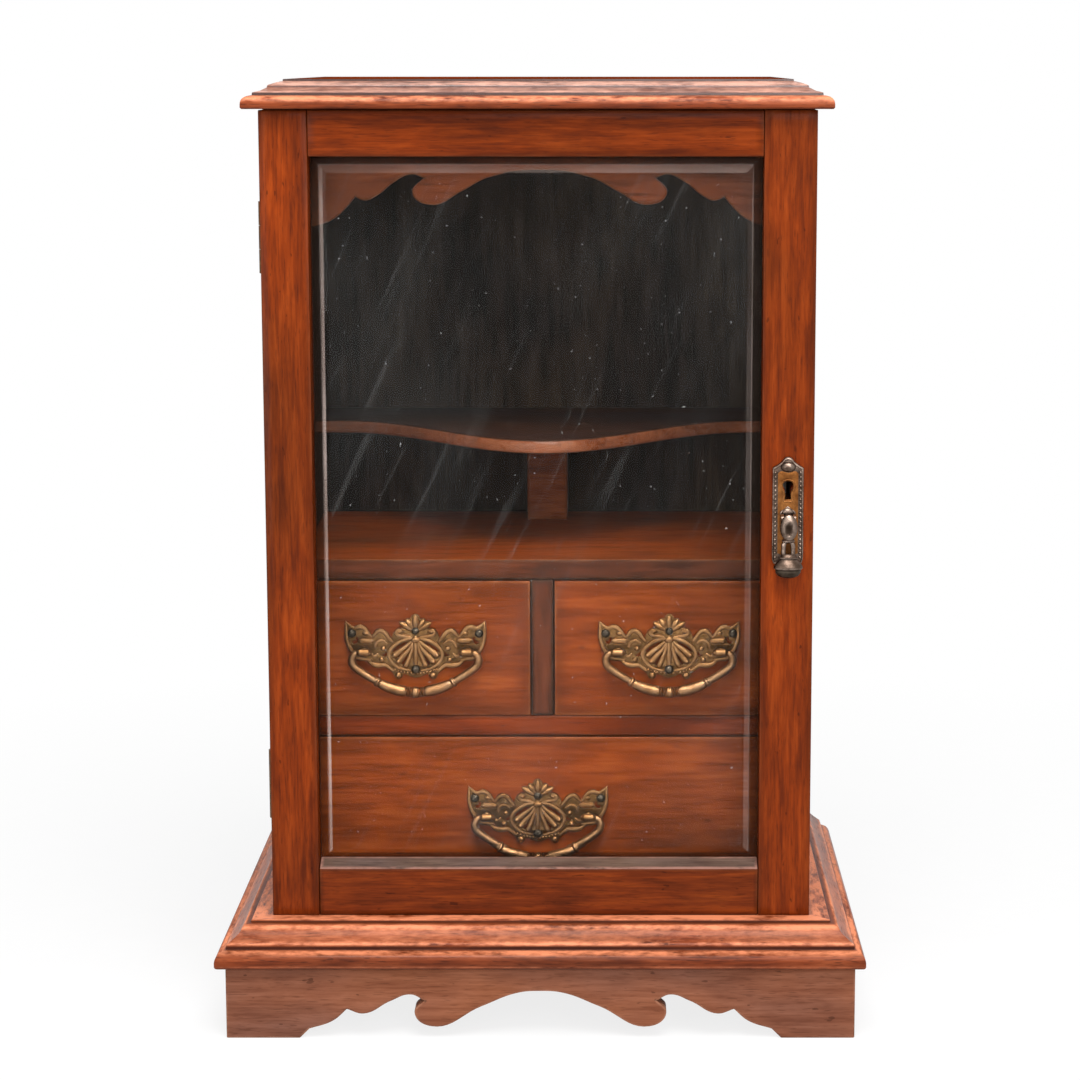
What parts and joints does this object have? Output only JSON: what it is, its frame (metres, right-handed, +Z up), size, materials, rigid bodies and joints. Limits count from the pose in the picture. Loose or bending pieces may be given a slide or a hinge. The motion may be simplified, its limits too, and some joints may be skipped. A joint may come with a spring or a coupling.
{
  "type": "smokers cabinet",
  "caption": "Small glazed wooden smokers cabinet with a serpentine shelf above drawers with bail handles, a moulded cornice and base, and a fretted bracket plinth.",
  "frame": {"origin": "on the floor under the middle of the moulded base", "axes": "+Z up, -Y towards the front with the glazed door, +X towards the lock side"},
  "size_m": [0.367, 0.262, 0.5378],
  "materials": {
    "polished_mahogany": "polished, worn",
    "dark_mahogany": "unpolished, dark",
    "drawer_lining_wood": "bare wood",
    "aged_brass": "aged",
    "dark_bronze": "dark patina",
    "lock_steel": "dull",
    "plate_glass": "bevelled, clear"
  },
  "bodies": {
    "carcass": {"plinth_front": "polished_mahogany", "plinth_left": "polished_mahogany", "plinth_right": "polished_mahogany", "plinth_back": "dark_mahogany", "plinth_block_left": "dark_mahogany", "plinth_block_right": "dark_mahogany", "base_board": "polished_mahogany", "carcass_bottom": "dark_mahogany", "side_left": "polished_mahogany", "side_right": "polished_mahogany", "back_panel": "dark_mahogany", "cornice": "polished_mahogany", "frieze": "polished_mahogany", "shelf": "polished_mahogany", "shelf_support": "polished_mahogany", "drawer_top_board": "polished_mahogany", "drawer_divider": "polished_mahogany", "drawer_rail": "polished_mahogany", "upper_hinge_carcass_leaf": "aged_brass", "upper_hinge_pin": "aged_brass", "lower_hinge_carcass_leaf": "aged_brass", "lower_hinge_pin": "aged_brass"},
    "door": {"hinge_stile": "polished_mahogany", "lock_stile": "polished_mahogany", "top_rail": "polished_mahogany", "bottom_rail": "polished_mahogany", "glass_pane": "plate_glass", "bead_top": "polished_mahogany", "bead_bottom": "polished_mahogany", "bead_left": "polished_mahogany", "bead_right": "polished_mahogany", "upper_hinge_door_leaf": "aged_brass", "lower_hinge_door_leaf": "aged_brass", "escutcheon": "dark_bronze", "drop_pull_pin": "dark_bronze", "lock_case": "lock_steel"},
    "drop_pull": {"drop_pull": "dark_bronze"},
    "lock_bolt": {"lock_bolt": "aged_brass"},
    "left_drawer": {"left_drawer_front": "polished_mahogany", "left_drawer_left_side": "drawer_lining_wood", "left_drawer_right_side": "drawer_lining_wood", "left_drawer_back": "drawer_lining_wood", "left_drawer_bottom": "drawer_lining_wood", "left_drawer_handle_plate": "aged_brass"},
    "right_drawer": {"right_drawer_front": "polished_mahogany", "right_drawer_left_side": "drawer_lining_wood", "right_drawer_right_side": "drawer_lining_wood", "right_drawer_back": "drawer_lining_wood", "right_drawer_bottom": "drawer_lining_wood", "right_drawer_handle_plate": "aged_brass"},
    "long_drawer": {"long_drawer_front": "polished_mahogany", "long_drawer_left_side": "drawer_lining_wood", "long_drawer_right_side": "drawer_lining_wood", "long_drawer_back": "drawer_lining_wood", "long_drawer_bottom": "drawer_lining_wood", "long_drawer_handle_plate": "aged_brass"},
    "left_bail": {"left_drawer_bail": "aged_brass"},
    "right_bail": {"right_drawer_bail": "aged_brass"},
    "long_bail": {"long_drawer_bail": "aged_brass"}
  },
  "joints": [
    {"name": "door_hinge", "type": "hinge", "parent": "carcass", "child": "door", "pos_m": [-0.1538, -0.0837, 0.294], "axis": [0, 0, -1], "range_deg": [0, 115]},
    {"name": "left_drawer_slide", "type": "slide", "parent": "carcass", "child": "left_drawer", "axis": [0, -1, 0], "range_m": [0, 0.098]},
    {"name": "right_drawer_slide", "type": "slide", "parent": "carcass", "child": "right_drawer", "axis": [0, -1, 0], "range_m": [0, 0.098]},
    {"name": "long_drawer_slide", "type": "slide", "parent": "carcass", "child": "long_drawer", "axis": [0, -1, 0], "range_m": [0, 0.098]},
    {"name": "left_bail_swing", "type": "hinge", "parent": "left_drawer", "child": "left_bail", "pos_m": [-0.0738, -0.0554, 0.2079], "axis": [-1, 0, 0], "range_deg": [0, 85]},
    {"name": "right_bail_swing", "type": "hinge", "parent": "right_drawer", "child": "right_bail", "pos_m": [0.0738, -0.0554, 0.2079], "axis": [-1, 0, 0], "range_deg": [0, 85]},
    {"name": "long_bail_swing", "type": "hinge", "parent": "long_drawer", "child": "long_bail", "pos_m": [-0.003, -0.0554, 0.1092], "axis": [-1, 0, 0], "range_deg": [0, 85]},
    {"name": "drop_pull_swing", "type": "hinge", "parent": "door", "child": "drop_pull", "pos_m": [0.1385, -0.1127, 0.2959], "axis": [-1, 0, 0], "range_deg": [0, 75]},
    {"name": "lock_bolt_throw", "type": "slide", "parent": "door", "child": "lock_bolt", "axis": [1, 0, 0], "range_m": [0, 0.005]}
  ],
  "couplings": [
    {"joint": "left_drawer_slide", "follows": "door_hinge", "m_per_rad": 0.0487},
    {"joint": "right_drawer_slide", "follows": "door_hinge", "m_per_rad": 0.0487},
    {"joint": "long_drawer_slide", "follows": "door_hinge", "m_per_rad": 0.0487}
  ]
}
